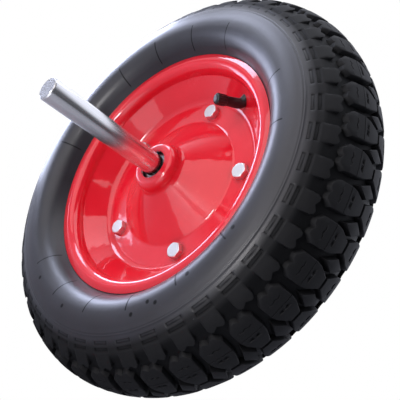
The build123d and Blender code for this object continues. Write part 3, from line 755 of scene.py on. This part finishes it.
# %% Hexagons and threads
FLATS, HEAD, BOLT_CIRCLE = 13.0, 5.3, 74.0
HEAD_SEAT = -2.0                        # the sheet's outer face, where a head sits
SHANK_R, THREAD_FROM, THREAD_TO = 4.0, 3.0, 13.2
THREAD_PITCH, THREAD_DEPTH = 1.25, 0.42
HEAD_MIDDLE_R = 5.6                     # the flat middle of a head's top
SHANK_END = ((3.6, 13.4), (3.1, 14.0))  # radius and y of the bevel past the thread
BOLT_SEGMENTS = 48
bolt_places = [radians(180 + 72 * k) for k in range(5)]


def hexagon(turns, flats, limit):
    """Radius of a hexagon at each angle, cut off at a limit: flats / 2 / cos(angle in its sector)."""
    sector = (turns + pi / 6) % (pi / 3) - pi / 6
    return np.minimum(flats / 2 / np.cos(sector), limit)


def rings_to_mesh(name, rings):
    """Stack rings of (radius array, y) round each bolt place and close both ends with flat faces."""
    points, quads, caps, start = [], [], [], 0
    turns = np.linspace(0, 2 * pi, len(rings[0][0]), endpoint=False)
    for place in bolt_places:
        centre = np.array([BOLT_CIRCLE * cos(place), 0, BOLT_CIRCLE * sin(place)])
        for radii, y in rings:
            heights = np.broadcast_to(y, radii.shape)
            points.append(centre + np.stack([radii * np.cos(turns), heights, radii * np.sin(turns)], axis=-1))
        quads.append(grid_quads(len(rings), len(turns), wrap_rows=False) + start)
        last = start + (len(rings) - 1) * len(turns)
        caps += [list(range(start, start + len(turns))), list(range(last, last + len(turns)))[::-1]]
        start += len(rings) * len(turns)
    return make_mesh(name, np.concatenate(points) * MM, np.concatenate(quads), caps, sharp_deg=30)


# %% Bolts
turns = np.linspace(0, 2 * pi, BOLT_SEGMENTS, endpoint=False)
circle = np.ones(BOLT_SEGMENTS)
corner = FLATS / np.sqrt(3)
bevel = ((6.4, 0.0), (6.75, 0.18), (7.2, 0.52), (corner, 0.85))     # radius limit, depth below the top
head_rings = [(hexagon(turns, FLATS, limit), HEAD_SEAT - HEAD + depth) for limit, depth in bevel]
climb = np.arange(0, THREAD_TO - THREAD_FROM, THREAD_PITCH / 6)
thread_rings = [(SHANK_R * circle - THREAD_DEPTH * (0.5 - 0.5 * np.cos(turns + 2 * pi * y / THREAD_PITCH)),
                 THREAD_FROM + y) for y in climb]
bolt_rings = ([(HEAD_MIDDLE_R * circle, HEAD_SEAT - HEAD)] + head_rings
              + [(hexagon(turns, FLATS, corner), HEAD_SEAT), (SHANK_R * circle, HEAD_SEAT)]
              + thread_rings + [(r * circle, y) for r, y in SHANK_END])
finish(rings_to_mesh("bolts_with_threads", bolt_rings), "wheel", "zinc", "rim_bolts")

# %% [markdown]
# ## Valve
# The valve leaves the tube through a hole in the front half, and bends out of the dish so that a
# pump can reach it. Its rubber stem is a tube carried along a path, and the cap is a ribbed
# sleeve with a rounded top: its radius swings with the angle, and shrinks over the last part.

# %% Valve's path
VALVE_DEG = 82.0
outward = np.array([cos(radians(VALVE_DEG)), 0, sin(radians(VALVE_DEG))])
front = np.array([0.0, -1.0, 0.0])
root = (106.5, 11.0)    # distances from the axle's line and from the middle of the wheel
elbow = np.array([91.5, 11.0])
tip = np.array([79.5, 36.0])
cap_way = (tip - elbow) / np.linalg.norm(tip - elbow)
CAP_LENGTH = 10.5
STEM_R, STEM_END_R, ELBOW_R = 4.8, 4.3, 7.0
RIB_R = 4.2             # ribs stand only where the cap is wider than this
cap_seat = tip - cap_way * CAP_LENGTH
stem_path = rounded_path([root, elbow, cap_seat], [ELBOW_R], steps=12)


def along_valve(name, path, radii, ribs=0, rib_height=0.0, segments=56):
    """Rings round a path in the plane of the valve, each at its own radius, closed at both ends."""
    along = np.gradient(path, axis=0)
    along /= np.linalg.norm(along, axis=1)[:, None]
    side = np.cross(outward, front)
    normal = -along[:, 1:2] * outward + along[:, 0:1] * front
    centre = path[:, 0:1] * outward + path[:, 1:2] * front
    turns = np.linspace(0, 2 * pi, segments, endpoint=False)
    rib = rib_height * np.clip(np.cos(ribs * turns) * 1.6 - 0.6, 0, 1)
    swing = np.array(radii)[:, None] + rib[None, :] * (np.array(radii)[:, None] > RIB_R)
    points = (centre[:, None, :] + (swing * np.cos(turns))[..., None] * normal[:, None, :]
              + (swing * np.sin(turns))[..., None] * side)
    last = (len(path) - 1) * segments
    caps = [list(range(segments)), list(range(last, last + segments))[::-1]]
    quads = grid_quads(len(path), segments, wrap_rows=False)
    return make_mesh(name, points.reshape(-1, 3) * MM, quads, caps)


stem_radii = np.full(len(stem_path), STEM_R)
stem_radii[-1] = STEM_END_R
finish(along_valve("bent_stem", stem_path, stem_radii), "wheel", "valve_rubber", "valve_stem")
cap_steps = np.array([0.15, 0.5, 3.0, 6.0, 8.0, 8.8, 9.5, 10.0, 10.35, 10.5])
cap_radii = [4.5, 4.8, 4.8, 4.8, 4.8, 4.8, 4.45, 3.9, 3.2, 2.2]
cap_path = cap_seat + cap_steps[:, None] * cap_way
ribbed_cap = along_valve("ribbed_cap", cap_path, cap_radii, ribs=14, rib_height=0.4)
finish(ribbed_cap, "wheel", "cap_plastic", "valve_cap")

# %% [markdown]
# ## Surroundings
# The picture is high key: white all round, with the light of a bright room. The floor is plain
# and pale. To the camera, floor and world are pure white. To everything else the floor is a light
# grey, and the world is bright on the left, where a window would be, and high behind the wheel,
# and nearly dark elsewhere, so the paint, the rubber and the bar reflect a room and not a blank.

# %% Floor and world
FLOOR_GAP = 0.0005      # the floor lies this far below the tyre, so the two don't touch
FLOOR_Z = cad_box[0][2] - FLOOR_GAP
FLOOR_REACH = 6
WHITE = rgb(1.0, 1.0, 1.0)
WINDOW_WAY, BEHIND_WAY = (-0.97, -0.10, 0.22), (0.0, 0.70, 0.71)


def white_to_camera(tree, kind, other, output):
    """Show plain white to camera rays and the other shader to the rest."""
    white = add(tree, kind, {"Color": WHITE, "Strength": 1.0})
    rays = add(tree, "ShaderNodeLightPath")
    either = add(tree, "ShaderNodeMixShader",
                 {0: rays.outputs["Is Camera Ray"], 1: other.outputs[0], 2: white.outputs[0]})
    tree.links.new(either.outputs[0], tree.nodes[output].inputs["Surface"])


floor_mesh = bpy.data.meshes.new("floor")
floor_corners = [(x * FLOOR_REACH, y * FLOOR_REACH, FLOOR_Z) for x, y in ((-1, -1), (1, -1), (1, 1), (-1, 1))]
floor_mesh.from_pydata(floor_corners, [], [(0, 1, 2, 3)])
floor = bpy.data.objects.new("floor", floor_mesh)
bpy.context.scene.collection.objects.link(floor)
made, tree, shader = finish_tree("pale_floor", Roughness=0.8, Base_Color=rgb(0.40, 0.40, 0.42))
white_to_camera(tree, "ShaderNodeEmission", shader, "Material Output")
floor_mesh.materials.append(made)

world = bpy.data.worlds.new("room")
world.use_nodes = True
bpy.context.scene.world = world
tree = world.node_tree
sky = tree.nodes["Background"]
way = add(tree, "ShaderNodeTexCoord").outputs["Generated"]


def glow(toward, spans):
    """Strength of the world: it rises smoothly as a ray's way comes nearer to a given one."""
    nearness = add(tree, "ShaderNodeVectorMath", {0: way, 1: toward}, operation="DOT_PRODUCT")
    return remap(tree, nearness.outputs["Value"], spans, interpolation_type="SMOOTHSTEP")


by_window = glow(WINDOW_WAY, {"From Min": 0.55, "From Max": 0.98, "To Min": 0.10, "To Max": 1.0})
behind = glow(BEHIND_WAY, {"From Min": 0.42, "From Max": 0.80, "To Max": 1.2})
sky.inputs["Color"].default_value = rgb(0.85, 0.88, 1.0)
tree.links.new(calc(tree, "ADD", by_window, behind), sky.inputs["Strength"])
white_to_camera(tree, "ShaderNodeBackground", sky, "World Output")

# %% [markdown]
# Seven soft area lights do the rest, and the camera doesn't see them. The window gives the bluish
# sheen on the side wall and the pale patches in the dish. The large front light carries most of
# the colour. The pane is small and gives the thin line on the flange. The one above lights the
# top of the tyre. The upper window draws streaks on the left of the rim. The floor glow and the
# low fill stand for light thrown back up.

# %% Lights
# name, place, what it faces, width, height, power in watts, colour
LIGHTS = (
    ("window", (-1.5, 0.0, 0.14), (0, 0, 0), 0.9, 0.62, 20.5, (0.68, 0.74, 1.0)),
    ("front", (-0.25, -1.45, 0.35), (0, 0, 0), 1.5, 1.5, 9.2, (1.0, 0.96, 0.98)),
    ("pane", (0.14, -0.98, -0.09), (0.03, 0, -0.02), 0.15, 0.17, 2.2, (1.0, 0.98, 1.0)),
    ("above", (-0.5, -0.5, 1.35), (0, 0, 0), 1.0, 1.0, 5.0, (0.92, 0.94, 1.0)),
    ("upper window", (-1.2, -0.76, 0.70), (0, 0, 0), 0.45, 0.45, 5.0, (0.72, 0.78, 1.0)),
    ("floor glow", (-0.95, 0.10, -0.185), (-0.95, 0.10, 1.0), 1.0, 1.0, 15.0, (0.70, 0.76, 1.0)),
    ("low fill", (0.30, -0.50, -0.185), (0.30, -0.50, 1.0), 0.5, 0.5, 0.7, (0.92, 0.94, 1.0)),
)
for name, place, aim, width, tall, power, colour in LIGHTS:
    data = bpy.data.lights.new(name, "AREA")
    data.shape = "RECTANGLE"
    data.size, data.size_y = width, tall
    data.energy = power
    data.color = colour
    light = bpy.data.objects.new(name, data)
    light.location = place
    light.rotation_euler = (Vector(aim) - Vector(place)).to_track_quat("-Z", "Y").to_euler()
    light.visible_camera = False
    bpy.context.scene.collection.objects.link(light)
print("lights:", len(bpy.data.lights))
